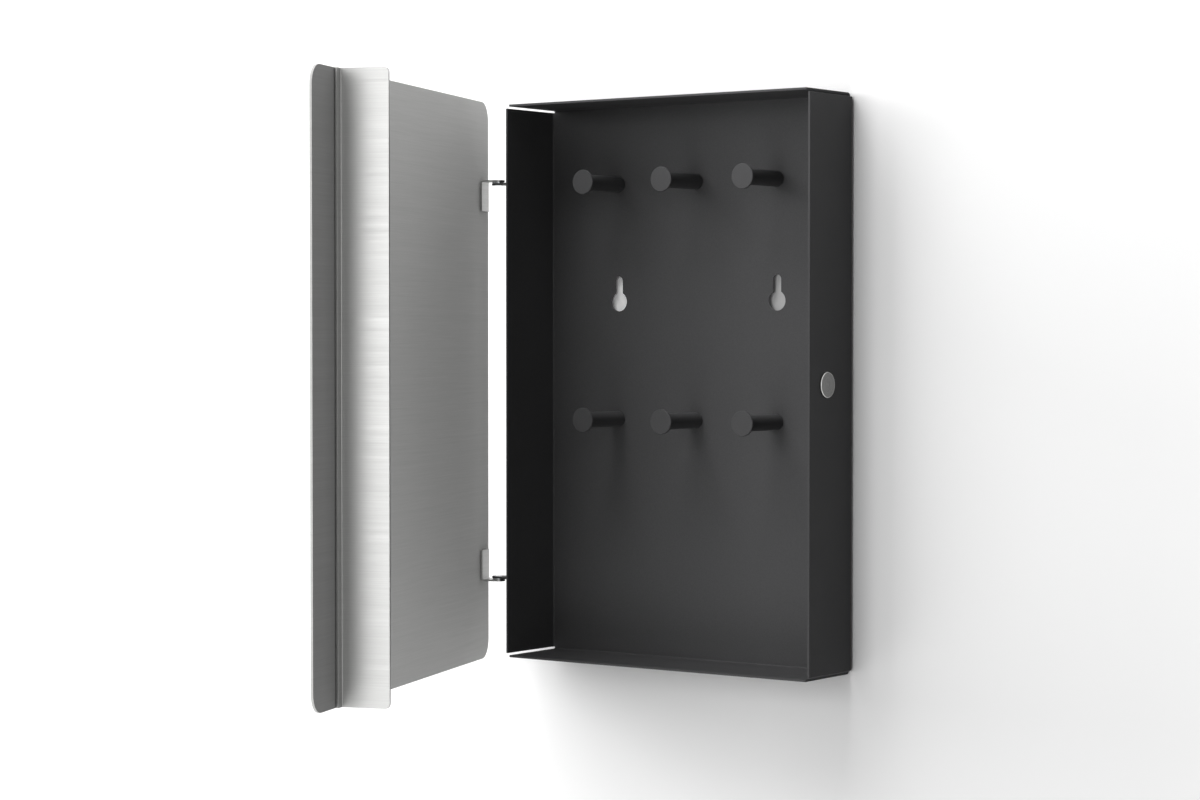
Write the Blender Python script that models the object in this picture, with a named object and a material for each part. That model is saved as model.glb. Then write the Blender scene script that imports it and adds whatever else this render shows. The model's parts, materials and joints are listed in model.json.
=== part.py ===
"""Wall-hung key cabinet with six key pegs and a brushed steel door.

The case is one folded sheet of black coated steel, open to the front. It hangs on
two screws by the keyholes in its back. The door turns on two small pin hinges at
the left side. Its closing flange passes outside the right wall, where a pot magnet
meets a steel disc. The door is modelled shut, on a pivot that then swings it open.

Metres. +X is to the right, -Y to the front, +Z up. The origin is the centre of the
back's rear face, which lies against the house wall.
"""
import math

import bmesh
import bpy
from mathutils import Matrix, Vector

# Case sheet
CASE_WIDTH = 0.190
CASE_HEIGHT = 0.2943
CASE_DEPTH = 0.0417
CASE_SHEET = 0.0012
CASE_BEND_RADIUS = 0.0021       # outside radius of the four folds, and the corner cut-out
CASE_EDGE_ROUND = 0.0002

# Keyholes in the back
KEYHOLE_SPACING = 0.100
KEYHOLE_ENTRY_RADIUS = 0.00515
KEYHOLE_SLOT_WIDTH = 0.0050
KEYHOLE_RISE = 0.0110           # from the entry's centre up to the slot's end centre

# Key pegs, two rows of three
PEG_ROWS = ("top", "bottom")
PEG_COLUMNS = ("left", "middle", "right")
PEG_TOP_INSET = 0.04215         # from the case's top down to the top row
PEG_ROW_SPACING = 0.125
PEG_COLUMN_SPACING = 0.050
PEG_LENGTH = 0.0330             # from the back plate to the front of the head
PEG_ROD_DIAMETER = 0.0083
PEG_HEAD_DIAMETER = 0.0130
PEG_HEAD_THICKNESS = 0.0013
PEG_CHAMFER = 0.0003
PEG_FOOT_CHAMFER = 0.0005

# Countersunk screw behind each peg
SCREW_DIAMETER = 0.0030
SCREW_HEAD_DIAMETER = 0.0054
SCREW_LENGTH = 0.0100
SCREW_SOCKET_WIDTH = 0.0020
SCREW_SOCKET_DEPTH = 0.0008
SCREW_TIP_CHAMFER = 0.0004
TAPPED_HOLE_SPARE = 0.0020      # depth of the tapped hole past the screw's tip

# Door sheet
DOOR_WIDTH = 0.251
DOOR_HEIGHT = 0.300
DOOR_SHEET = 0.0013
DOOR_CORNER_RADIUS = 0.010
DOOR_EDGE_ROUND = 0.0002
DOOR_GAP = 0.0005               # from the case's front edges to the shut door

# Closing flange on the door's inner face
FLANGE_DEPTH = 0.0256           # from the door's inner face to the flange's free end
FLANGE_SHEET = 0.0012
FLANGE_BEND_RADIUS = 0.0016
FLANGE_FOOT = 0.0044            # from the flange's outer face towards the door's free edge
FLANGE_CORNER_RADIUS = 0.0025
FLANGE_EDGE_ROUND = 0.00015

# Magnet catch at the right wall
CATCH_BACKSET = 0.0155          # from the case's front edge to the catch's centre
CATCH_DIAMETER = 0.0130
CATCH_THICKNESS = 0.0009
CATCH_CHAMFER = 0.0002
CATCH_STUD_DIAMETER = 0.0040
CATCH_STUD_PROUD = 0.0010       # stud's length past the nut
CATCH_WASHER_DIAMETER = 0.0090
CATCH_WASHER_THICKNESS = 0.0008
CATCH_NUT_WIDTH = 0.0070        # across flats
CATCH_NUT_THICKNESS = 0.0032
CATCH_AIR = 0.0003              # between the shut door's magnet and the disc
MAGNET_CUP_HEIGHT = 0.0037
MAGNET_CUP_WALL = 0.0010
MAGNET_CUP_BASE = 0.0010

# Hinges, one upper and one lower, mirrored about the middle of the case
PIVOT_STAND_OFF = 0.0119        # from the case's left wall out to the pin
PIVOT_BEHIND_DOOR = 0.0093      # from the door's inner face back to the pin
PIVOT_FROM_DOOR_EDGE = 0.0106   # from the door's hinge edge to the pin
HINGE_SHEET = 0.0010
HINGE_BEND_RADIUS = 0.0015
HINGE_EYE_RADIUS = 0.0035
HINGE_INSET = 0.04125           # from the case's end to the ear's outer face
HINGE_LEAF_HEIGHT = 0.0166
EAR_LEAF_WIDTH = 0.0120
BRACKET_EDGE_MARGIN = 0.0030    # from the door's hinge edge to the bracket's leaf
HINGE_WASHER_DIAMETER = 0.0066
HINGE_WASHER_THICKNESS = 0.0005
PIN_DIAMETER = 0.0030
PIN_HEAD_DIAMETER = 0.0044
PIN_HEAD_DEPTH = 0.0006
OPEN_ANGLE = math.radians(70.5)

# Clearances
SEAT_GAP = 0.0003               # between pieces that rest on each other
FIT_GAP = 0.0001                # round a pin, screw or stud in its hole
WASHER_GAP = 0.00015            # above and below a hinge washer
CUT_OVERRUN = 0.0010            # how far a cutter runs past what it cuts
WELD_DISTANCE = 0.000001        # merges the doubled points of a new mesh

# Facets
ROUND_STEPS = 32
SMALL_ROUND_STEPS = 24
BEND_STEPS = 6
CORNER_STEPS = 8
HEX_SIDES = 6
SHARP_ANGLE = math.radians(35)

# Places that follow from the sizes above
FRONT = -CASE_DEPTH
DOOR_INNER_Y = FRONT - DOOR_GAP
PIVOT = Vector((-CASE_WIDTH / 2 - PIVOT_STAND_OFF, DOOR_INNER_Y + PIVOT_BEHIND_DOOR, 0))
DOOR_LEFT = PIVOT.x - PIVOT_FROM_DOOR_EDGE
CATCH_Y = FRONT + CATCH_BACKSET
CATCH_FACE_X = CASE_WIDTH / 2 + SEAT_GAP + CATCH_THICKNESS
FLANGE_INNER_X = CATCH_FACE_X + CATCH_AIR + MAGNET_CUP_HEIGHT + SEAT_GAP
FLANGE_OUTER_X = FLANGE_INNER_X + FLANGE_SHEET
HINGE_EAR_LEVEL = CASE_HEIGHT / 2 - HINGE_INSET
WASHER_SPACE = HINGE_WASHER_THICKNESS + 2 * WASHER_GAP
TAB_LEVEL = HINGE_EAR_LEVEL + WASHER_SPACE + HINGE_SHEET
PEG_TOP_ROW_RISE = CASE_HEIGHT / 2 - PEG_TOP_INSET
PEG_FOOT_Y = -CASE_SHEET - SEAT_GAP

# Turns a piece's own +Z to the front, to the right or to the left
TO_FRONT = Matrix.Rotation(math.pi / 2, 4, "X")
TO_RIGHT = Matrix.Rotation(math.pi / 2, 4, "Y")
TO_LEFT = Matrix.Rotation(-math.pi / 2, 4, "Y")


def clear_scene():
    for obj in list(bpy.data.objects):
        bpy.data.objects.remove(obj, do_unlink=True)


def material(name, colour, roughness, metallic):
    """A Principled material with the finish's main values."""
    made = bpy.data.materials.new(name)
    made.use_nodes = True
    shader = made.node_tree.nodes["Principled BSDF"]
    shader.inputs["Base Color"].default_value = (*colour, 1)
    shader.inputs["Roughness"].default_value = roughness
    shader.inputs["Metallic"].default_value = metallic
    made.diffuse_color = (*colour, 1)
    return made


def add_piece(name, bm, finish, parent=None):
    """Turns a bmesh into a named object with its faces pointing out."""
    bmesh.ops.remove_doubles(bm, verts=bm.verts, dist=WELD_DISTANCE)
    bmesh.ops.recalc_face_normals(bm, faces=bm.faces)
    mesh = bpy.data.meshes.new(name)
    bm.to_mesh(mesh)
    bm.free()
    mesh.shade_smooth()
    mesh.set_sharp_from_angle(angle=SHARP_ANGLE)
    obj = bpy.data.objects.new(name, mesh)
    bpy.context.collection.objects.link(obj)
    if finish:
        mesh.materials.append(finish)
    obj.parent = parent
    return obj


def add_cutter(name, bm, parent=None):
    """A hidden guide that a Boolean modifier reads."""
    cutter = add_piece(name, bm, None, parent)
    cutter.hide_render = True
    cutter.display_type = "WIRE"
    return cutter


def boolean(obj, cutter, operation):
    modifier = obj.modifiers.new(operation.lower(), "BOOLEAN")
    modifier.operation = operation
    modifier.solver = "EXACT"
    modifier.object = cutter


def round_edges(obj, width):
    """Breaks the sheet's sharp edges, as deburring and coating do."""
    modifier = obj.modifiers.new("edge_round", "BEVEL")
    modifier.width = width
    modifier.segments = 2
    modifier.limit_method = "ANGLE"
    modifier.angle_limit = SHARP_ANGLE


def weight_normals(obj):
    """Keeps large flat faces flat in shading beside folds and rounded edges."""
    modifier = obj.modifiers.new("weighted_normals", "WEIGHTED_NORMAL")
    modifier.keep_sharp = True


def turned(bm, profile, steps, matrix=None, hex_points=()):
    """Turns a profile of (radius, height) points about Z.

    A profile that starts and ends on the axis makes a solid body. Any other is
    closed on itself and makes a ring. Points whose index is in hex_points lie on a
    hexagon, and their radius is half its width across flats.
    """
    matrix = matrix or Matrix.Identity(4)
    rings = []
    for index, (radius, height) in enumerate(profile):
        if radius == 0:
            rings.append([bm.verts.new(matrix @ Vector((0, 0, height)))])
            continue
        ring = []
        for step in range(steps):
            angle = math.tau * step / steps
            reach = radius
            if index in hex_points:
                side = math.tau / HEX_SIDES
                reach = radius / math.cos((angle + side / 2) % side - side / 2)
            point = Vector((reach * math.cos(angle), reach * math.sin(angle), height))
            ring.append(bm.verts.new(matrix @ point))
        rings.append(ring)
    pairs = list(zip(rings, rings[1:]))
    if profile[0][0] != 0:
        pairs.append((rings[-1], rings[0]))
    for lower, upper in pairs:
        for step in range(steps):
            following = (step + 1) % steps
            corners = []
            for ring, order in ((lower, (step, following)), (upper, (following, step))):
                corners += [ring[0]] if len(ring) == 1 else [ring[i] for i in order]
            if len(corners) > 2:
                bm.faces.new(corners)


def prism(bm, outline, low, high, place):
    """A solid with a flat outline, between two levels of its third direction."""
    ends = [[bm.verts.new(place(u, v, level)) for u, v in outline] for level in (low, high)]
    bm.faces.new(ends[0])
    bm.faces.new(reversed(ends[1]))
    count = len(outline)
    for i in range(count):
        j = (i + 1) % count
        bm.faces.new((ends[0][i], ends[0][j], ends[1][j], ends[1][i]))


def rounded(corners, steps=CORNER_STEPS):
    """An outline from (u, v, radius) corners, with an arc at each that has a radius."""
    outline = []
    for i, (u, v, radius) in enumerate(corners):
        here = Vector((u, v))
        if radius == 0:
            outline.append(tuple(here))
            continue
        before = (Vector(corners[i - 1][:2]) - here).normalized()
        after = (Vector(corners[(i + 1) % len(corners)][:2]) - here).normalized()
        half = before.angle(after) / 2
        centre = here + (before + after).normalized() * radius / math.sin(half)
        start = here + before * radius / math.tan(half) - centre
        end = here + after * radius / math.tan(half) - centre
        sweep = start.angle_signed(end)
        for step in range(steps + 1):
            turn = Matrix.Rotation(-sweep * step / steps, 2)
            outline.append(tuple(centre + turn @ start))
    return outline


def arc(centre, radius, start, end, steps):
    """Points on an arc, by angles."""
    angles = [start + (end - start) * step / steps for step in range(steps + 1)]
    return [(centre[0] + radius * math.cos(a), centre[1] + radius * math.sin(a)) for a in angles]


def case_frame(u, v, w):
    """Outlines drawn on the back: u to the right, v up, w forward."""
    return Vector((u, -w, v))


def plan_frame(u, v, w):
    """Outlines drawn in plan: u along X, v along Y, w up."""
    return Vector((u, v, w))


def fold_profile(half_span):
    """Outer and inner points of one folded wall, from the back plate to its front edge.

    Each entry is the outer point and the inner point, as distance from the middle of
    the case and distance in front of the house wall.
    """
    middle = half_span - CASE_BEND_RADIUS
    inner_radius = CASE_BEND_RADIUS - CASE_SHEET
    points = []
    for step in range(BEND_STEPS + 1):
        angle = math.pi / 2 * step / BEND_STEPS
        out, forward = math.sin(angle), math.cos(angle)
        points.append((
            (middle + CASE_BEND_RADIUS * out, CASE_BEND_RADIUS * (1 - forward)),
            (middle + inner_radius * out, CASE_BEND_RADIUS - inner_radius * forward),
        ))
    points.append(((half_span, CASE_DEPTH), (half_span - CASE_SHEET, CASE_DEPTH)))
    return points


def folded_case(bm):
    """The back plate and the four walls folded from it, as one sheet."""
    half_width, half_height = CASE_WIDTH / 2, CASE_HEIGHT / 2
    plate_u, plate_v = half_width - CASE_BEND_RADIUS, half_height - CASE_BEND_RADIUS
    for forward in (0, CASE_SHEET):
        corners = ((-plate_u, -plate_v), (plate_u, -plate_v), (plate_u, plate_v), (-plate_u, plate_v))
        bm.faces.new([bm.verts.new(case_frame(u, v, forward)) for u, v in corners])
    walls = (
        (half_width, plate_v, lambda out, along, forward: case_frame(out, along, forward)),
        (half_width, plate_v, lambda out, along, forward: case_frame(-out, along, forward)),
        (half_height, plate_u, lambda out, along, forward: case_frame(along, out, forward)),
        (half_height, plate_u, lambda out, along, forward: case_frame(along, -out, forward)),
    )
    for half_span, half_length, place in walls:
        profile = fold_profile(half_span)
        ends = []
        for along in (-half_length, half_length):
            outer = [bm.verts.new(place(out, along, forward)) for (out, forward), _ in profile]
            inner = [bm.verts.new(place(out, along, forward)) for _, (out, forward) in profile]
            ends.append((outer, inner))
        (outer_a, inner_a), (outer_b, inner_b) = ends
        for i in range(len(profile) - 1):
            bm.faces.new((outer_a[i], outer_a[i + 1], outer_b[i + 1], outer_b[i]))
            bm.faces.new((inner_a[i], inner_a[i + 1], inner_b[i + 1], inner_b[i]))
            bm.faces.new((outer_a[i], outer_a[i + 1], inner_a[i + 1], inner_a[i]))
            bm.faces.new((outer_b[i], outer_b[i + 1], inner_b[i + 1], inner_b[i]))
        bm.faces.new((outer_a[-1], outer_b[-1], inner_b[-1], inner_a[-1]))


def peg_places():
    """Name, X and Z of each peg."""
    for row_index, row in enumerate(PEG_ROWS):
        z = PEG_TOP_ROW_RISE - row_index * PEG_ROW_SPACING
        for column_index, column in enumerate(PEG_COLUMNS):
            offset = column_index - (len(PEG_COLUMNS) - 1) / 2
            yield f"{row}_{column}", offset * PEG_COLUMN_SPACING, z


def keyhole_outline(centre_x, entry_z):
    """A round entry with a narrower slot going up from it."""
    slot_radius = KEYHOLE_SLOT_WIDTH / 2
    shoulder = math.asin(slot_radius / KEYHOLE_ENTRY_RADIUS)
    start, end = math.pi / 2 + shoulder, math.tau + math.pi / 2 - shoulder
    entry = arc((centre_x, entry_z), KEYHOLE_ENTRY_RADIUS, start, end, ROUND_STEPS)
    slot = arc((centre_x, entry_z + KEYHOLE_RISE), slot_radius, 0, math.pi, CORNER_STEPS * 2)
    return entry + slot


def countersink_profile():
    """The countersunk hole in the back plate, from behind the plate to its front."""
    head_radius = SCREW_HEAD_DIAMETER / 2 + FIT_GAP
    shank_radius = SCREW_DIAMETER / 2 + FIT_GAP
    slope = (head_radius - shank_radius) / CASE_SHEET
    return (
        (0, -CUT_OVERRUN),
        (head_radius + CUT_OVERRUN * slope, -CUT_OVERRUN),
        (shank_radius, CASE_SHEET),
        (shank_radius, CASE_SHEET + CUT_OVERRUN),
        (0, CASE_SHEET + CUT_OVERRUN),
    )


def make_case(finish):
    bm = bmesh.new()
    folded_case(bm)
    case = add_piece("case_body", bm, finish)
    round_edges(case, CASE_EDGE_ROUND)

    holes = bmesh.new()
    keyhole_z = PEG_TOP_ROW_RISE - PEG_ROW_SPACING / 2
    for side in (-1, 1):
        outline = keyhole_outline(side * KEYHOLE_SPACING / 2, keyhole_z)
        prism(holes, outline, -CUT_OVERRUN, CASE_SHEET + CUT_OVERRUN, case_frame)
    for _, x, z in peg_places():
        place = Matrix.Translation((x, 0, z)) @ TO_FRONT
        turned(holes, countersink_profile(), SMALL_ROUND_STEPS, place)
    stud_hole = CATCH_STUD_DIAMETER / 2 + FIT_GAP
    reach = CASE_SHEET + CUT_OVERRUN
    place = Matrix.Translation((CASE_WIDTH / 2, CATCH_Y, 0)) @ TO_RIGHT
    profile = ((0, -reach), (stud_hole, -reach), (stud_hole, CUT_OVERRUN), (0, CUT_OVERRUN))
    turned(holes, profile, SMALL_ROUND_STEPS, place)
    boolean(case, add_cutter("case_holes", holes), "DIFFERENCE")
    weight_normals(case)


def make_pegs(finish, screw_finish):
    """Turned pegs with a flat disc head, each held by a screw from behind."""
    rod, head = PEG_ROD_DIAMETER / 2, PEG_HEAD_DIAMETER / 2
    length = PEG_LENGTH - SEAT_GAP
    hole = SCREW_DIAMETER / 2 + FIT_GAP
    hole_depth = SCREW_LENGTH - CASE_SHEET - SEAT_GAP + TAPPED_HOLE_SPARE
    head_back = length - PEG_HEAD_THICKNESS
    peg_profile = (
        (0, hole_depth + hole),
        (hole, hole_depth),
        (hole, 0),
        (rod - PEG_FOOT_CHAMFER, 0),
        (rod, PEG_FOOT_CHAMFER),
        (rod, head_back),
        (head - PEG_CHAMFER, head_back),
        (head, head_back + PEG_CHAMFER),
        (head, length - PEG_CHAMFER),
        (head - PEG_CHAMFER, length),
        (0, length),
    )
    shank, screw_head = SCREW_DIAMETER / 2, SCREW_HEAD_DIAMETER / 2
    socket = SCREW_SOCKET_WIDTH / 2
    screw_profile = (
        (0, SCREW_SOCKET_DEPTH),
        (socket, SCREW_SOCKET_DEPTH),
        (socket, 0),
        (screw_head, 0),
        (shank, CASE_SHEET),
        (shank, SCREW_LENGTH - SCREW_TIP_CHAMFER),
        (shank - SCREW_TIP_CHAMFER, SCREW_LENGTH),
        (0, SCREW_LENGTH),
    )
    for name, x, z in peg_places():
        bm = bmesh.new()
        turned(bm, peg_profile, ROUND_STEPS)
        peg = add_piece(f"peg_{name}", bm, finish)
        peg.matrix_world = Matrix.Translation((x, PEG_FOOT_Y, z)) @ TO_FRONT
        bm = bmesh.new()
        turned(bm, screw_profile, SMALL_ROUND_STEPS, hex_points=(1, 2))
        screw = add_piece(f"peg_screw_{name}", bm, screw_finish)
        screw.matrix_world = Matrix.Translation((x, 0, z)) @ TO_FRONT


def make_catch(finish, magnet_finish, pivot):
    """The steel disc bolted to the right wall, and the pot magnet on the door's flange."""
    stud = CATCH_STUD_DIAMETER / 2
    disc = CATCH_DIAMETER / 2
    wall_inner = CASE_WIDTH / 2 - CASE_SHEET
    stack = CASE_SHEET + 2 * SEAT_GAP + CATCH_WASHER_THICKNESS + CATCH_NUT_THICKNESS
    stud_end = -(stack + SEAT_GAP + CATCH_STUD_PROUD)
    bm = bmesh.new()
    turned(bm, (
        (0, stud_end),
        (stud - CATCH_CHAMFER, stud_end),
        (stud, stud_end + CATCH_CHAMFER),
        (stud, SEAT_GAP),
        (disc, SEAT_GAP),
        (disc, SEAT_GAP + CATCH_THICKNESS - CATCH_CHAMFER),
        (disc - CATCH_CHAMFER, SEAT_GAP + CATCH_THICKNESS),
        (0, SEAT_GAP + CATCH_THICKNESS),
    ), ROUND_STEPS)
    plate = add_piece("catch_disc", bm, finish)
    plate.matrix_world = Matrix.Translation((CASE_WIDTH / 2, CATCH_Y, 0)) @ TO_RIGHT

    bore = stud + FIT_GAP
    washer = CATCH_WASHER_DIAMETER / 2
    nut = CATCH_NUT_WIDTH / 2
    rings = (
        ("catch_washer", washer, CATCH_WASHER_THICKNESS, SEAT_GAP, ()),
        ("catch_nut", nut, CATCH_NUT_THICKNESS, 2 * SEAT_GAP + CATCH_WASHER_THICKNESS, (1, 2)),
    )
    for name, radius, thickness, depth, hex_points in rings:
        bm = bmesh.new()
        profile = ((bore, 0), (radius, 0), (radius, thickness), (bore, thickness))
        turned(bm, profile, SMALL_ROUND_STEPS, hex_points=hex_points)
        ring = add_piece(name, bm, finish)
        ring.matrix_world = Matrix.Translation((wall_inner - depth, CATCH_Y, 0)) @ TO_LEFT

    cup_inner = disc - MAGNET_CUP_WALL
    rim = MAGNET_CUP_HEIGHT
    bm = bmesh.new()
    turned(bm, (
        (0, 0),
        (disc - CATCH_CHAMFER, 0),
        (disc, CATCH_CHAMFER),
        (disc, rim - CATCH_CHAMFER),
        (disc - CATCH_CHAMFER, rim),
        (cup_inner, rim),
        (cup_inner, MAGNET_CUP_BASE),
        (0, MAGNET_CUP_BASE),
    ), ROUND_STEPS)
    cup = add_piece("magnet_cup", bm, finish, pivot)
    core_radius = cup_inner - SEAT_GAP
    core_foot = MAGNET_CUP_BASE + SEAT_GAP
    bm = bmesh.new()
    turned(bm, (
        (0, core_foot),
        (core_radius, core_foot),
        (core_radius, rim - CATCH_CHAMFER),
        (core_radius - CATCH_CHAMFER, rim),
        (0, rim),
    ), ROUND_STEPS)
    core = add_piece("magnet_core", bm, magnet_finish, pivot)
    for piece in (cup, core):
        place = Vector((FLANGE_INNER_X - SEAT_GAP, CATCH_Y, 0)) - PIVOT
        piece.matrix_local = Matrix.Translation(place) @ TO_LEFT


def pin_profile(clearance, overrun):
    """Half a hinge pin's outline: flush cone heads at both ends of a plain shank.

    With a clearance and an overrun it is the hole that the pin sits in.
    """
    low = HINGE_EAR_LEVEL - HINGE_SHEET
    shank, head = PIN_DIAMETER / 2 + clearance, PIN_HEAD_DIAMETER / 2 + clearance
    return (
        (0, low - overrun),
        (head, low - overrun),
        (head, low),
        (shank, low + PIN_HEAD_DEPTH),
        (shank, TAB_LEVEL - PIN_HEAD_DEPTH),
        (head, TAB_LEVEL),
        (head, TAB_LEVEL + overrun),
        (0, TAB_LEVEL + overrun),
    )


def pin_points():
    """The pin's own profile, without the overrun's doubled points."""
    profile = pin_profile(0, 0)
    return profile[:1] + profile[2:6] + profile[7:]


def hinge_leaf(name, finish, parent, level, span, far, plan, place, side):
    """A folded hinge plate: a welded leaf with a level tab that carries the pin.

    The fold is drawn as (out, up) from the face that it is welded to. The plan is the
    tab's outline as (along, out), and place puts (along, out, up) in the object.
    """
    low = level - HINGE_LEAF_HEIGHT
    weld_face = SEAT_GAP
    inner = weld_face + HINGE_SHEET
    fold = rounded((
        (weld_face, low, 0),
        (weld_face, level, HINGE_BEND_RADIUS),
        (far + CUT_OVERRUN, level, 0),
        (far + CUT_OVERRUN, level - HINGE_SHEET, 0),
        (inner, level - HINGE_SHEET, HINGE_BEND_RADIUS - HINGE_SHEET),
        (inner, low, 0),
    ), BEND_STEPS)
    bm = bmesh.new()
    start, end = span[0] - CUT_OVERRUN, span[1] + CUT_OVERRUN
    prism(bm, fold, start, end, lambda out, up, along: place(along, out, side * up))
    plate = add_piece(name, bm, finish, parent)

    bm = bmesh.new()
    bottom, top = low - CUT_OVERRUN, level + CUT_OVERRUN
    prism(bm, plan, bottom, top, lambda along, out, up: place(along, out, side * up))
    boolean(plate, add_cutter(f"{name}_plan", bm, parent), "INTERSECT")
    return plate


def eye_plan(span, eye_along, eye_out):
    """A tab's outline that runs from the whole leaf to a round eye about the pin."""
    reach = SEAT_GAP + HINGE_SHEET
    start, end = span
    first = eye_touch(end, eye_along, eye_out - reach, 1)
    last = eye_touch(start, eye_along, eye_out - reach, -1)
    eye = arc((eye_along, eye_out), HINGE_EYE_RADIUS, first, last, CORNER_STEPS * 2)
    return [(start, 0), (end, 0), (end, reach)] + eye + [(start, reach)]


def eye_touch(corner, eye_along, rise, side):
    """The angle on the eye where the tab's straight edge from a leaf corner meets it."""
    run = side * (corner - eye_along)
    turn = math.atan2(run, rise) - math.asin(HINGE_EYE_RADIUS / math.hypot(run, rise))
    return turn if side > 0 else math.pi - turn


def make_hinges(case_finish, door_finish, pin_finish, pivot):
    """Upper and lower hinge: an ear on the case, a bracket on the door, washer and pin."""
    ear_span = (PIVOT.y - EAR_LEAF_WIDTH / 2, PIVOT.y + EAR_LEAF_WIDTH / 2)
    ear_plan = eye_plan(ear_span, PIVOT.y, PIVOT_STAND_OFF)
    bracket_end = PIVOT_FROM_DOOR_EDGE + HINGE_EYE_RADIUS
    bracket_span = (BRACKET_EDGE_MARGIN, bracket_end)
    bracket_plan = eye_plan(bracket_span, PIVOT_FROM_DOOR_EDGE, PIVOT_BEHIND_DOOR)
    washer_low = HINGE_EAR_LEVEL + WASHER_GAP
    washer_high = washer_low + HINGE_WASHER_THICKNESS
    washer_bore = PIN_DIAMETER / 2 + FIT_GAP
    washer_radius = HINGE_WASHER_DIAMETER / 2

    def on_case(along, out, up):
        return Vector((-CASE_WIDTH / 2 - out, along, up))

    def on_door(along, out, up):
        return Vector((along - PIVOT_FROM_DOOR_EDGE, out - PIVOT_BEHIND_DOOR, up))

    for name, side in (("upper", 1), ("lower", -1)):
        mirror = Matrix.Diagonal((1, 1, side, 1))
        holes = {}
        for owner, parent, centre in (("ear", None, PIVOT), ("bracket", pivot, Vector())):
            bm = bmesh.new()
            place = Matrix.Translation(centre) @ mirror
            turned(bm, pin_profile(FIT_GAP, CUT_OVERRUN), SMALL_ROUND_STEPS, place)
            holes[owner] = add_cutter(f"hinge_{owner}_hole_{name}", bm, parent)

        ear = hinge_leaf(f"hinge_ear_{name}", case_finish, None, HINGE_EAR_LEVEL, ear_span,
                         PIVOT_STAND_OFF + HINGE_EYE_RADIUS, ear_plan, on_case, side)
        boolean(ear, holes["ear"], "DIFFERENCE")
        bracket = hinge_leaf(f"door_bracket_{name}", door_finish, pivot, TAB_LEVEL, bracket_span,
                             PIVOT_BEHIND_DOOR + HINGE_EYE_RADIUS, bracket_plan, on_door, side)
        boolean(bracket, holes["bracket"], "DIFFERENCE")

        bm = bmesh.new()
        turned(bm, pin_points(), SMALL_ROUND_STEPS, mirror)
        pin = add_piece(f"hinge_pin_{name}", bm, pin_finish)
        bm = bmesh.new()
        profile = ((washer_bore, washer_low), (washer_radius, washer_low),
                   (washer_radius, washer_high), (washer_bore, washer_high))
        turned(bm, profile, SMALL_ROUND_STEPS, mirror)
        washer = add_piece(f"hinge_washer_{name}", bm, pin_finish)
        for piece in (pin, washer):
            piece.location = PIVOT


def make_door(finish, pivot):
    """The flat door sheet with round corners, and its folded closing flange."""
    left = DOOR_LEFT - PIVOT.x
    right = left + DOOR_WIDTH
    inner = DOOR_INNER_Y - PIVOT.y
    half_height = DOOR_HEIGHT / 2
    outline = rounded((
        (left, -half_height, DOOR_CORNER_RADIUS),
        (right, -half_height, DOOR_CORNER_RADIUS),
        (right, half_height, DOOR_CORNER_RADIUS),
        (left, half_height, DOOR_CORNER_RADIUS),
    ))
    bm = bmesh.new()
    prism(bm, outline, inner - DOOR_SHEET, inner, lambda u, v, w: Vector((u, w, v)))
    panel = add_piece("door_panel", bm, finish, pivot)
    round_edges(panel, DOOR_EDGE_ROUND)
    weight_normals(panel)

    near, outer = FLANGE_INNER_X - PIVOT.x, FLANGE_OUTER_X - PIVOT.x
    foot_low = inner + SEAT_GAP
    foot_high = foot_low + FLANGE_SHEET
    end = inner + FLANGE_DEPTH
    profile = rounded((
        (near, foot_low, FLANGE_BEND_RADIUS),
        (outer + FLANGE_FOOT, foot_low, 0),
        (outer + FLANGE_FOOT, foot_high, 0),
        (outer, foot_high, FLANGE_BEND_RADIUS - FLANGE_SHEET),
        (outer, end, 0),
        (near, end, 0),
    ), BEND_STEPS)
    bm = bmesh.new()
    prism(bm, profile, -half_height - CUT_OVERRUN, half_height + CUT_OVERRUN, plan_frame)
    flange = add_piece("closing_flange", bm, finish, pivot)
    blank = rounded((
        (foot_low - CUT_OVERRUN, -half_height, 0),
        (end, -half_height, FLANGE_CORNER_RADIUS),
        (end, half_height, FLANGE_CORNER_RADIUS),
        (foot_low - CUT_OVERRUN, half_height, 0),
    ))
    bm = bmesh.new()
    sides = near - CUT_OVERRUN, outer + FLANGE_FOOT + CUT_OVERRUN
    prism(bm, blank, *sides, lambda u, v, w: Vector((w, u, v)))
    boolean(flange, add_cutter("flange_blank", bm, pivot), "INTERSECT")
    round_edges(flange, FLANGE_EDGE_ROUND)
    weight_normals(flange)


def main():
    clear_scene()
    black_coat = material("black_powder_coat", (0.026, 0.026, 0.027), 0.55, 0.0)
    stainless = material("brushed_stainless_steel", (0.60, 0.60, 0.59), 0.30, 1.0)
    zinc = material("zinc_plated_steel", (0.55, 0.56, 0.57), 0.35, 1.0)
    ferrite = material("nickel_plated_magnet", (0.62, 0.60, 0.56), 0.25, 1.0)

    pivot = bpy.data.objects.new("door_pivot", None)
    bpy.context.collection.objects.link(pivot)
    pivot.location = PIVOT
    pivot.rotation_euler = (0, 0, -OPEN_ANGLE)

    make_case(black_coat)
    make_pegs(black_coat, zinc)
    make_hinges(black_coat, stainless, zinc, pivot)
    make_door(stainless, pivot)
    make_catch(zinc, ferrite, pivot)


main()
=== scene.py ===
"""Looks of the wall-hung key cabinet: finishes, soft studio light, wall and camera.

The case, pegs and hinge ears are steel with a black powder coat. The door, its closing
flange and its hinge brackets are stainless steel with a level brushed grain. The small
hardware is zinc-plated, the catch disc is turned steel and the magnet is nickel-plated.

Metres. +X is to the right, -Y to the front, +Z up, as in the frame.
"""

import json
import math

import bmesh
import bpy
from mathutils import Euler, Matrix, Vector


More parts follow.
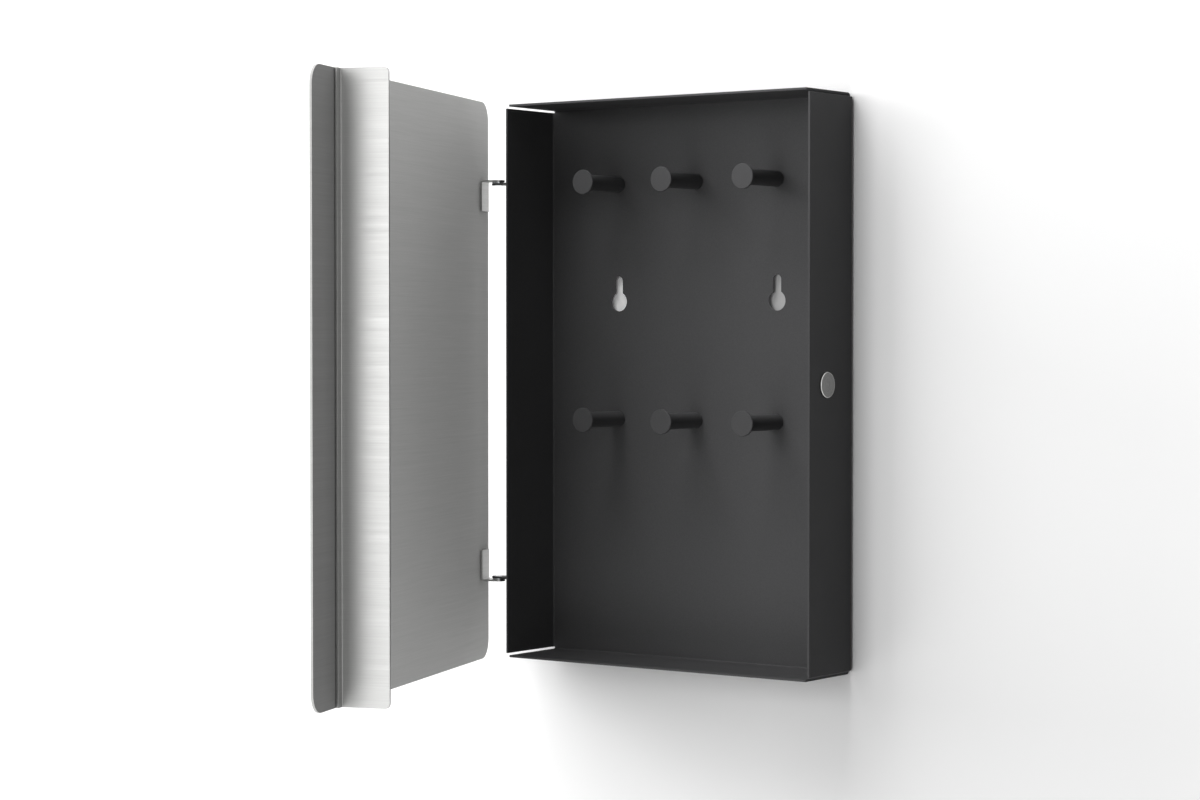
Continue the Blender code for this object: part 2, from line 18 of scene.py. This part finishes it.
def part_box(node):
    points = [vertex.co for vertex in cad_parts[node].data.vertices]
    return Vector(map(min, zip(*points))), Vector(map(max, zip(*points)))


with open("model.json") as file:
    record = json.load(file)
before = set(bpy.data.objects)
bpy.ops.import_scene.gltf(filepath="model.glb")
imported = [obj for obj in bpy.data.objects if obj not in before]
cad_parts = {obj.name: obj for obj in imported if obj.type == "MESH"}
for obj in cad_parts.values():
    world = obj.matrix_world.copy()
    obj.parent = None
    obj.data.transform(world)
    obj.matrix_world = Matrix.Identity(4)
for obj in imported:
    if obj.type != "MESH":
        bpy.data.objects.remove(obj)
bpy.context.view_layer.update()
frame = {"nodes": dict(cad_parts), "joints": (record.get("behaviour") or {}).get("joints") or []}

MM = 0.001

# Camera, as the photograph was taken, with its lens and sensor in millimetres
CAMERA_PLACE = Vector((0.8487, -1.2538, 0.0270))
CAMERA_AIM = Vector((-0.04884, -0.0200, -0.00966))
LENS = 86.48
SENSOR_WIDTH = 36.0

# House wall behind the case
WALL_Y = 0.4 * MM
WALL_REACH = 2.6
WALL_FADE_START = 0.62          # distance from the origin, just outside the photograph's frame
WALL_FADE_END = 1.2
WALL_OPENING_MARGIN = 2.5 * MM  # the wall ends this far inside the case's outline
PATCH_REACH = 24 * MM           # half the side of the wall patch behind a keyhole
PATCH_DEPTH = 1.2 * MM          # how far the patch lies behind the wall's face
PATCH_PAINTED_LEVEL = {"left": 1.2, "right": 0.5}    # the patch's level where it is seen: painted light on the left, painted shade on the right
WALL_SEEN = 1.0                 # the paint's level where it is seen or mirrored
WALL_PAINT = 0.34               # the paint's level for the light that it sends on

# Pale surround of the studio
AIR_COLOUR = "#FFFFFF"
AIR_SEEN = 1.0                  # its level where it is seen or mirrored
AIR_FILL = 0.04                 # its level as fill light

# Soft boxes: bearing and height as seen from the case in degrees, power in watts, and
# whether steel mirrors the lamp. Without mirrored side lamps the door's outside isn't
# burnt out. The rear lamps stand behind the wall and light only the case's back.
LAMP_DISTANCE = 1.9
LAMP_SIZE = 1.0
SOFT_BOXES = {
    "overhead_box": (-12, 62, 17.6, True),
    "left_box": (-40, 12, 9.8, False),
    "far_left_box": (-58, 12, 12.0, False),
    "upper_left_box": (-45, 45, 12.6, False),
    "low_left_box": (-50, -30, 4.8, False),
    "front_box": (0, 4, 10.8, True),
    "low_front_box": (0, -35, 4.9, True),
    "right_front_box": (45, 12, 1.6, True),
    "rear_left_box": (-145, 25, 14, False),
    "rear_right_box": (150, 20, 14, False),
}

# Powder coat. The real grit is about 0.1 mm wide.
COAT_COLOURS = "#4F4F50", "#545455"
COAT_ROUGHNESS = 0.50, 0.58
COAT_IOR = 1.5
COAT_SPECULAR = 0.1             # the fine texture scatters most of the coat's shine
COAT_GRIT = 0.45 * MM
COAT_GRIT_HEIGHT = 0.007 * MM
COAT_PEEL = 2.6 * MM
COAT_PEEL_HEIGHT = 0.026 * MM
COAT_WIPED = 38 * MM

# Brushed stainless. The real hairlines are 0.05 to 0.1 mm wide.
SHEET_COLOURS = "#C5C5C4", "#CBCBCA"
SHEET_ROUGHNESS = 0.88, 0.93
SHEET_ANISOTROPY = 0.3
FLANGE_SHADOW_SHARE = 0.51               # painted shade for the flange's shadow: the strip's colour as a share of the sheet's
FLANGE_SHADOW_BLEND = 3 * MM
FLANGE_SHADOW_SKIN = 0.05 * MM           # the painted shade reaches this deep, so the sheet's edge stays bright
FLANGE_COLOURS = "#9A9A99", "#A3A3A2"
FLANGE_ROUGHNESS = 0.40, 0.46
FLANGE_ANISOTROPY = 0.5
BRACKET_COLOURS = "#9B9B99", "#A7A7A6"
BRACKET_ROUGHNESS = 0.30, 0.36
BRACKET_ANISOTROPY = 0.3
HAIR_LENGTH = 34 * MM
HAIR_WIDTH = 0.3 * MM
HAIR_DEPTH = 0.004 * MM
BAND_LENGTH = 120 * MM
BAND_WIDTH = 2.2 * MM
GRAIN_BREAKUP = 0.6             # how strongly finer scratches break up the grain

# Zinc plate
ZINC_COLOURS = "#B4B8BC", "#C9CBCD"
ZINC_ROUGHNESS = 0.26, 0.36
ZINC_CLOUD = 3.0 * MM
ZINC_DENT = 0.35 * MM
ZINC_DENT_DEPTH = 0.006 * MM

# Turned steel and nickel. The real rings are 0.1 mm apart.
DISC_COLOURS = "#787877", "#848483"
DISC_ROUGHNESS = 0.24, 0.32
# The rim's lighter colour is a painted highlight, where the chamfer catches light
RIM_HIGHLIGHT_COLOUR = "#DADAD8"
RIM_ROUGHNESS = 0.08
RIM_WIDTH = 0.3 * MM
RIM_BLEND = 0.1 * MM
NICKEL_COLOURS = "#B9B4A8", "#CCC7BC"
NICKEL_ROUGHNESS = 0.20, 0.26
RING_PITCH = 0.5 * MM
RING_DEPTH = 0.004 * MM

# Noise: most of it lies between these two levels, and less detail makes it softer
NOISE_LOW = 0.3
NOISE_HIGH = 0.7
SOFT_DETAIL = 1.0
CLOUDY_DETAIL = 3.0

# Facets of the solids
JOIN_DISTANCE = 0.002 * MM
SHARP_ANGLE = math.radians(35)

# The door's hinge, and the turn that shuts the door
HINGE = frame["joints"][0]
HINGE_POINT = Vector(HINGE["pos_m"])
SHUT_TURN = math.radians(-HINGE["range_deg"][0])


def linear(hex_colour):
    """An sRGB hex colour as linear RGBA, by the curve that the sRGB standard gives."""
    channels = [int(hex_colour[i:i + 2], 16) / 255 for i in (1, 3, 5)]
    return (*(c / 12.92 if c <= 0.04045 else ((c + 0.055) / 1.055) ** 2.4 for c in channels), 1)


def add(tree, kind, inputs=None, **settings):
    """Adds one node. Each input is a plain value or the socket that feeds it."""
    made = tree.nodes.new(kind)
    for name, value in settings.items():
        setattr(made, name, value)
    for key, value in (inputs or {}).items():
        if isinstance(value, bpy.types.NodeSocket):
            tree.links.new(value, made.inputs[key])
        else:
            made.inputs[key].default_value = value
    return made


def bare_material(name):
    """A new material and its node tree, which is still empty."""
    made = bpy.data.materials.new(name)
    made.use_nodes = True
    made.node_tree.nodes.clear()
    return made, made.node_tree


def finish(tree, inputs):
    """Ends a material with a Principled shader that takes these values and sockets."""
    shader = add(tree, "ShaderNodeBsdfPrincipled", inputs)
    add(tree, "ShaderNodeOutputMaterial", {"Surface": shader.outputs[0]})


def mottle(tree, tint_noise, colours, shine_noise, roughness):
    """Spreads one noise over a finish's two colours, and another over its roughness."""
    share, shine = [
        add(tree, "ShaderNodeMapRange", {
            "Value": noise, "From Min": NOISE_LOW, "From Max": NOISE_HIGH,
            "To Min": low, "To Max": high,
        }).outputs[0]
        for noise, (low, high) in ((tint_noise, (0, 1)), (shine_noise, roughness))
    ]
    tint = add(tree, "ShaderNodeMix", {
        "Factor": share, "A": linear(colours[0]), "B": linear(colours[1]),
    }, data_type="RGBA").outputs["Result"]
    return tint, shine


def powder_coat():
    """Black polyester powder coat, sprayed on the folded steel and baked.

    It gives the eye a soft satin black: a slow orange peel from the melt, a fine grit
    that breaks up every highlight, and slightly duller patches where hands wipe it.
    The grit is drawn coarser than it is, so that it shows.
    """
    made, tree = bare_material("black_powder_coat")
    place = add(tree, "ShaderNodeTexCoord").outputs["Object"]
    layers = (COAT_GRIT, SOFT_DETAIL), (COAT_PEEL, SOFT_DETAIL), (COAT_WIPED, CLOUDY_DETAIL)
    grit, peel, wiped = [
        add(tree, "ShaderNodeTexNoise", {
            "Vector": place, "Scale": 1 / size, "Detail": detail,
        }).outputs[0]
        for size, detail in layers
    ]
    tint, shine = mottle(tree, grit, COAT_COLOURS, wiped, COAT_ROUGHNESS)
    slow = add(tree, "ShaderNodeBump", {"Height": peel, "Distance": COAT_PEEL_HEIGHT})
    fine = add(tree, "ShaderNodeBump", {
        "Height": grit, "Distance": COAT_GRIT_HEIGHT, "Normal": slow.outputs[0],
    })
    finish(tree, {
        "Base Color": tint, "Metallic": 0.0, "Roughness": shine, "Normal": fine.outputs[0],
        "IOR": COAT_IOR, "Specular IOR Level": COAT_SPECULAR,
    })
    return made


def shut_points(node):
    """The node's points as they lie when the door is shut."""
    shut = Matrix.Rotation(SHUT_TURN, 3, "Z")
    points = frame["nodes"][node].data.vertices
    return [shut @ (point.co - HINGE_POINT) + HINGE_POINT for point in points]


def flange_shadow_strip(tree, place, tint):
    """Paints shade on the inner face past the closing flange, where the flange's shadow falls.
    """
    start = max(point.x for point in shut_points("closing_flange"))
    inner_face = max(point.y for point in shut_points("door_panel"))
    parts = add(tree, "ShaderNodeSeparateXYZ", {0: place})
    past = add(tree, "ShaderNodeMapRange", {
        "Value": parts.outputs["X"], "From Min": start - FLANGE_SHADOW_BLEND, "From Max": start,
    }).outputs[0]
    inside = add(tree, "ShaderNodeMath", {
        0: parts.outputs["Y"], 1: inner_face - FLANGE_SHADOW_SKIN,
    }, operation="GREATER_THAN").outputs[0]
    flange_shadow = add(tree, "ShaderNodeMath", {0: past, 1: inside}, operation="MULTIPLY").outputs[0]
    shade = add(tree, "ShaderNodeMapRange", {
        "Value": flange_shadow, "To Min": 1.0, "To Max": FLANGE_SHADOW_SHARE,
    }).outputs[0]
    return add(tree, "ShaderNodeVectorMath", {
        0: tint, "Scale": shade,
    }, operation="SCALE").outputs[0]


def brushed_stainless(name, colours, roughness, anisotropy, flange_shadow=False):
    """Stainless sheet brushed level with an abrasive belt.

    It gives the eye a satin sheet with level hairlines, and highlights that are
    drawn out up and down, across the grain. The hairlines are drawn wider than they
    are, so that they show.
    """
    made, tree = bare_material(name)
    object_place = add(tree, "ShaderNodeTexCoord").outputs["Object"]
    # The point on the shut door: along its width, in from its face, and up
    place = add(tree, "ShaderNodeVectorRotate", {
        "Vector": object_place, "Center": HINGE_POINT, "Angle": SHUT_TURN,
    }, rotation_type="Z_AXIS").outputs[0]
    grains = []
    for length, width in ((HAIR_LENGTH, HAIR_WIDTH), (BAND_LENGTH, BAND_WIDTH)):
        stretched = add(tree, "ShaderNodeVectorMath", {
            0: place, 1: (1 / length, 1 / length, 1 / width),
        }, operation="MULTIPLY").outputs[0]
        grains.append(add(tree, "ShaderNodeTexNoise", {
            "Vector": stretched, "Scale": 1.0, "Roughness": GRAIN_BREAKUP,
        }).outputs[0])
    hairs, bands = grains
    tint, shine = mottle(tree, hairs, colours, bands, roughness)
    # Past the flange the inner face gets painted shade, standing in for the flange's shadow
    if flange_shadow:
        tint = flange_shadow_strip(tree, place, tint)
    scratch = add(tree, "ShaderNodeBump", {"Height": hairs, "Distance": HAIR_DEPTH})
    upward = add(tree, "ShaderNodeCombineXYZ", {"Z": 1.0}).outputs[0]
    finish(tree, {
        "Base Color": tint, "Metallic": 1.0, "Roughness": shine, "Normal": scratch.outputs[0],
        "Anisotropic": anisotropy, "Tangent": upward,
    })
    return made


def zinc_plate():
    """Steel with bright zinc plate, barrel plated.

    It gives the eye a slightly blue, cloudy shine with a fine tumbled texture.
    """
    made, tree = bare_material("zinc_plated_steel")
    place = add(tree, "ShaderNodeTexCoord").outputs["Object"]
    clouds = add(tree, "ShaderNodeTexNoise", {
        "Vector": place, "Scale": 1 / ZINC_CLOUD, "Detail": CLOUDY_DETAIL,
    }).outputs[0]
    dents = add(tree, "ShaderNodeTexNoise", {"Vector": place, "Scale": 1 / ZINC_DENT}).outputs[0]
    tint, shine = mottle(tree, clouds, ZINC_COLOURS, clouds, ZINC_ROUGHNESS)
    bump = add(tree, "ShaderNodeBump", {"Height": dents, "Distance": ZINC_DENT_DEPTH})
    finish(tree, {
        "Base Color": tint, "Metallic": 1.0, "Roughness": shine, "Normal": bump.outputs[0],
    })
    return made


def turned_steel(name, node, colours, roughness):
    """Bright metal faced on a lathe, with its rings about the node's axis along X.

    It gives the eye fine rings round the centre, and a polished rim whose lower roughness
    is real and whose lighter colour is a painted highlight, where the chamfer catches
    light. The tool's marks are drawn wider apart than they are, so that they show.
    """
    made, tree = bare_material(name)
    low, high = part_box(node)
    place = add(tree, "ShaderNodeTexCoord").outputs["Object"]
    offset = add(tree, "ShaderNodeVectorMath", {
        0: place, 1: (low + high) / 2,
    }, operation="SUBTRACT").outputs[0]
    flat = add(tree, "ShaderNodeVectorMath", {
        0: offset, 1: (0, 1, 1),
    }, operation="MULTIPLY").outputs[0]
    radius = add(tree, "ShaderNodeVectorMath", {0: flat}, operation="LENGTH").outputs["Value"]
    count = add(tree, "ShaderNodeMath", {
        0: radius, 1: 1 / RING_PITCH,
    }, operation="MULTIPLY").outputs[0]
    rings = add(tree, "ShaderNodeTexNoise", {
        "W": count, "Scale": 1.0,
    }, noise_dimensions="1D").outputs[0]
    face_tint, face_shine = mottle(tree, rings, colours, rings, roughness)
    rim_start = (high.z - low.z) / 2 - RIM_WIDTH
    rim_polish_and_highlight = add(tree, "ShaderNodeMapRange", {
        "Value": radius, "From Min": rim_start - RIM_BLEND, "From Max": rim_start,
    }).outputs[0]
    # Painted highlight: the rim's lighter colour stands in for light caught on the chamfer; its
    # lower roughness is a real polish
    tint = add(tree, "ShaderNodeMix", {
        "Factor": rim_polish_and_highlight, "A": face_tint, "B": linear(RIM_HIGHLIGHT_COLOUR),
    }, data_type="RGBA").outputs["Result"]
    shine = add(tree, "ShaderNodeMix", {
        "Factor": rim_polish_and_highlight, "A": face_shine, "B": RIM_ROUGHNESS,
    }).outputs["Result"]
    bump = add(tree, "ShaderNodeBump", {"Height": rings, "Distance": RING_DEPTH})
    finish(tree, {
        "Base Color": tint, "Metallic": 1.0, "Roughness": shine, "Normal": bump.outputs[0],
    })
    return made


def facet_joiner():
    """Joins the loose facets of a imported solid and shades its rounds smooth."""
    group = bpy.data.node_groups.new("joined_facets", "GeometryNodeTree")
    for way in ("INPUT", "OUTPUT"):
        group.interface.new_socket("Geometry", in_out=way, socket_type="NodeSocketGeometry")
    given = add(group, "NodeGroupInput").outputs[0]
    joined = add(group, "GeometryNodeMergeByDistance", {
        "Geometry": given, "Distance": JOIN_DISTANCE,
    }).outputs[0]
    plain = add(group, "GeometryNodeRemoveAttribute", {
        "Geometry": joined, "Name": "custom_normal",
    }).outputs[0]
    smooth = add(group, "GeometryNodeSetShadeSmooth", {
        "Geometry": plain, "Shade Smooth": True,
    }, domain="FACE").outputs[0]
    angle = add(group, "GeometryNodeInputMeshEdgeAngle").outputs["Unsigned Angle"]
    sharp = add(group, "FunctionNodeCompare", {
        0: angle, 1: SHARP_ANGLE,
    }, data_type="FLOAT", operation="GREATER_THAN").outputs[0]
    edged = add(group, "GeometryNodeSetShadeSmooth", {
        "Geometry": smooth, "Selection": sharp, "Shade Smooth": False,
    }, domain="EDGE").outputs[0]
    add(group, "NodeGroupOutput", {0: edged})
    return group


def dress(node, made, joiner):
    """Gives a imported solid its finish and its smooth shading."""
    obj = frame["nodes"][node]
    for slot in obj.material_slots:
        slot.material = made
    obj.modifiers.new("joined_facets", "NODES").node_group = joiner
    weighted = obj.modifiers.new("flat_faces", "WEIGHTED_NORMAL")
    weighted.keep_sharp = True


def dress_solids():
    """Each node takes the finish under the longest name that its own name starts with."""
    joiner = facet_joiner()
    coat = powder_coat()
    zinc = zinc_plate()
    sheet = brushed_stainless("brushed_stainless_sheet", SHEET_COLOURS, SHEET_ROUGHNESS,
                              SHEET_ANISOTROPY, flange_shadow=True)
    strip = brushed_stainless("brushed_stainless_strip", FLANGE_COLOURS, FLANGE_ROUGHNESS,
                              FLANGE_ANISOTROPY)
    bracket = brushed_stainless("brushed_stainless_bracket", BRACKET_COLOURS, BRACKET_ROUGHNESS,
                                BRACKET_ANISOTROPY)
    disc = turned_steel("turned_steel_disc", "catch_disc", DISC_COLOURS, DISC_ROUGHNESS)
    core = turned_steel("nickel_plated_magnet", "magnet_core", NICKEL_COLOURS, NICKEL_ROUGHNESS)
    finishes = {
        "case_body": coat, "peg_": coat, "hinge_ear_": coat,
        "peg_screw_": zinc, "hinge_pin_": zinc, "hinge_washer_": zinc, "catch_": zinc,
        "magnet_cup": zinc, "door_panel": sheet, "closing_flange": strip,
        "door_bracket_": bracket, "catch_disc": disc, "magnet_core": core,
    }
    for node in frame["nodes"]:
        named = [start for start in finishes if node.startswith(start)]
        dress(node, finishes[max(named, key=len)], joiner)


def seen_ray(tree):
    """One where a surface is seen, mirrored or seen through, and zero for fill light."""
    path = add(tree, "ShaderNodeLightPath")
    seen = path.outputs["Is Camera Ray"]
    for other in ("Is Glossy Ray", "Is Transmission Ray"):
        seen = add(tree, "ShaderNodeMath", {
            0: seen, 1: path.outputs[other],
        }, operation="MAXIMUM").outputs[0]
    return seen


def wall_paint(name, seen_level):
    """Matt wall paint, solid from the room's side and clear from behind.

    Far from the case it fades into the white surround where it is seen.
    """
    made, tree = bare_material(name)
    level = add(tree, "ShaderNodeMapRange", {
        "Value": seen_ray(tree), "To Min": WALL_PAINT, "To Max": seen_level,
    }).outputs[0]
    paint = add(tree, "ShaderNodeBsdfDiffuse", {"Color": level}).outputs[0]
    clear = add(tree, "ShaderNodeBsdfTransparent").outputs[0]
    spot = add(tree, "ShaderNodeNewGeometry")
    distance = add(tree, "ShaderNodeVectorMath", {
        0: spot.outputs["Position"],
    }, operation="LENGTH").outputs["Value"]
    far = add(tree, "ShaderNodeMapRange", {
        "Value": distance, "From Min": WALL_FADE_START, "From Max": WALL_FADE_END,
    }).outputs[0]
    looked_at = add(tree, "ShaderNodeLightPath").outputs["Is Camera Ray"]
    faded = add(tree, "ShaderNodeMath", {0: far, 1: looked_at}, operation="MULTIPLY").outputs[0]
    gone = add(tree, "ShaderNodeMath", {
        0: spot.outputs["Backfacing"], 1: faded,
    }, operation="MAXIMUM").outputs[0]
    sides = add(tree, "ShaderNodeMixShader", {0: gone, 1: paint, 2: clear}).outputs[0]
    add(tree, "ShaderNodeOutputMaterial", {"Surface": sides})
    return made


def flat_sheet(bm, x_low, x_high, z_low, z_high, depth=0.0):
    """One face in the wall's plane, or depth behind it, facing the room."""
    corners = ((x_low, z_low), (x_high, z_low), (x_high, z_high), (x_low, z_high))
    bm.faces.new([bm.verts.new((x, WALL_Y + depth, z)) for x, z in corners])


def stand_wall(name, bm, paint):
    """Makes the sheets into a piece of wall, which isn't part of the cabinet."""
    mesh = bpy.data.meshes.new(name)
    bm.to_mesh(mesh)
    bm.free()
    mesh.materials.append(paint)
    wall = bpy.data.objects.new(name, mesh)
    bpy.context.collection.objects.link(wall)
    return wall


def house_wall():
    """The pale wall, open behind the case so that light also reaches the case's back."""
    low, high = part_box("case_body")
    x_low, x_high = low.x + WALL_OPENING_MARGIN, high.x - WALL_OPENING_MARGIN
    z_low, z_high = low.z + WALL_OPENING_MARGIN, high.z - WALL_OPENING_MARGIN
    bm = bmesh.new()
    flat_sheet(bm, -WALL_REACH, x_low, -WALL_REACH, WALL_REACH)
    flat_sheet(bm, x_high, WALL_REACH, -WALL_REACH, WALL_REACH)
    flat_sheet(bm, x_low, x_high, -WALL_REACH, z_low)
    flat_sheet(bm, x_low, x_high, z_high, WALL_REACH)
    stand_wall("house_wall", bm, wall_paint("white_wall_paint", WALL_SEEN))


def keyhole_centre(column):
    """The keyholes lie in line with the outer pegs, midway between the two rows."""
    pegs = [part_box(f"peg_{row}_{column}") for row in ("top", "bottom")]
    return sum((low + high for low, high in pegs), Vector()) / (2 * len(pegs))


def keyhole_patches():
    """The wall as it shows through each keyhole, with painted light and shade, and without a
    shadow on the case's back.
    """
    # Painted light on the left patch and painted shade on the right one, for the light through
    # each keyhole
    for column, seen_level in PATCH_PAINTED_LEVEL.items():
        middle = keyhole_centre(column)
        bm = bmesh.new()
        flat_sheet(bm, middle.x - PATCH_REACH, middle.x + PATCH_REACH,
                   middle.z - PATCH_REACH, middle.z + PATCH_REACH, PATCH_DEPTH)
        patch = stand_wall(f"wall_behind_{column}_keyhole", bm,
                           wall_paint(f"{column}_painted_light_and_shade", seen_level))
        patch.visible_shadow = patch.visible_diffuse = patch.visible_glossy = False


def studio_air():
    """A pale surround: white where it is seen or mirrored, and softer as fill light."""
    world = bpy.data.worlds.new("studio")
    bpy.context.scene.world = world
    world.use_nodes = True
    tree = world.node_tree
    tree.nodes.clear()
    level = add(tree, "ShaderNodeMapRange", {
        "Value": seen_ray(tree), "To Min": AIR_FILL, "To Max": AIR_SEEN,
    }).outputs[0]
    air = add(tree, "ShaderNodeBackground", {
        "Color": linear(AIR_COLOUR), "Strength": level,
    }).outputs[0]
    add(tree, "ShaderNodeOutputWorld", {"Surface": air})


def soft_boxes():
    """Large soft lamps round the case, all aimed at its middle."""
    for name, (bearing, height, power, mirrored) in SOFT_BOXES.items():
        turn = Euler((math.pi / 2 - math.radians(height), 0, math.radians(bearing)))
        light = bpy.data.lights.new(name, "AREA")
        light.shape = "SQUARE"
        light.size = LAMP_SIZE
        light.energy = power
        lamp = bpy.data.objects.new(name, light)
        bpy.context.collection.objects.link(lamp)
        lamp.visible_glossy = mirrored
        lamp.rotation_euler = turn
        lamp.location = turn.to_matrix() @ Vector((0, 0, LAMP_DISTANCE))


def place_camera():
    camera = bpy.data.objects.new("camera", bpy.data.cameras.new("camera"))
    bpy.context.collection.objects.link(camera)
    camera.data.sensor_width = SENSOR_WIDTH
    camera.data.lens = LENS
    camera.location = CAMERA_PLACE
    camera.rotation_mode = "QUATERNION"
    camera.rotation_quaternion = (CAMERA_AIM - CAMERA_PLACE).to_track_quat("-Z", "Y")
    bpy.context.scene.camera = camera


def main():
    place_camera()
    dress_solids()
    house_wall()
    keyhole_patches()
    studio_air()
    soft_boxes()
    bpy.context.scene.view_settings.view_transform = "Standard"


main()
